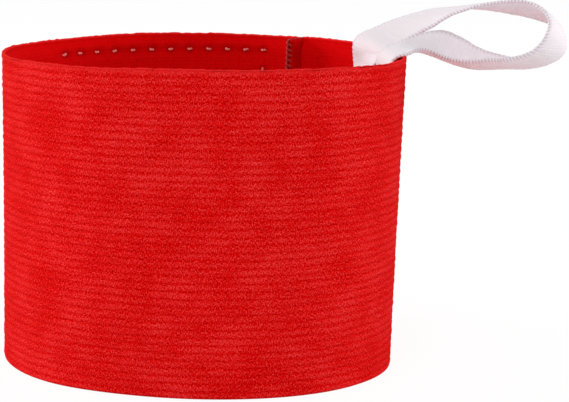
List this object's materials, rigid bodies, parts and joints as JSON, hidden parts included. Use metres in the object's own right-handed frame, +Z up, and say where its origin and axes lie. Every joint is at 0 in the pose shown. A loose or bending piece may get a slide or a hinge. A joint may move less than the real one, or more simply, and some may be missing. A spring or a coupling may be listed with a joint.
{
  "type": "wrist pin cushion",
  "caption": "Wrist pin cushion: ribbed elastic band worn on the wrist, with a stuffed rectangular pin pad sewn to its outer side and a twisted tape loop at the rim.",
  "frame": {"origin": "centre of the wrist opening at the rim's own axis, level with the band's lower edge", "axes": "+Z up along the wrist opening, +X towards the side that carries the tape loop, the pin pad is at the back on the +Y side"},
  "size_m": [0.0914, 0.0741, 0.0583],
  "materials": {
    "red_webbing": "ribbed plush knit",
    "red_thread": "matt thread",
    "white_felt": "felt",
    "guard_plastic": "satin",
    "stuffing": "loose fibre",
    "white_cotton": "plain weave",
    "white_thread": "twisted thread",
    "white_tape": "woven tape"
  },
  "bodies": {
    "band": {"elastic_band": "red_webbing", "band_seam_thread": "red_thread", "pad_backing": "white_felt", "needle_guard": "guard_plastic", "pad_filling": "stuffing", "pad_cover": "white_cotton", "pad_needle_thread": "white_thread", "pad_bobbin_thread": "white_thread", "tape_end_inner": "white_tape", "tape_end_outer": "white_tape", "loop_tack_thread": "white_thread"},
    "loop": {"hanging_loop": "white_tape"}
  },
  "joints": [
    {"name": "loop_flop", "type": "hinge", "parent": "band", "child": "loop", "pos_m": [0.0272, 0.0052, 0.04945], "axis": [0.3449, -0.9386, 0], "range_deg": [0, 90]}
  ]
}
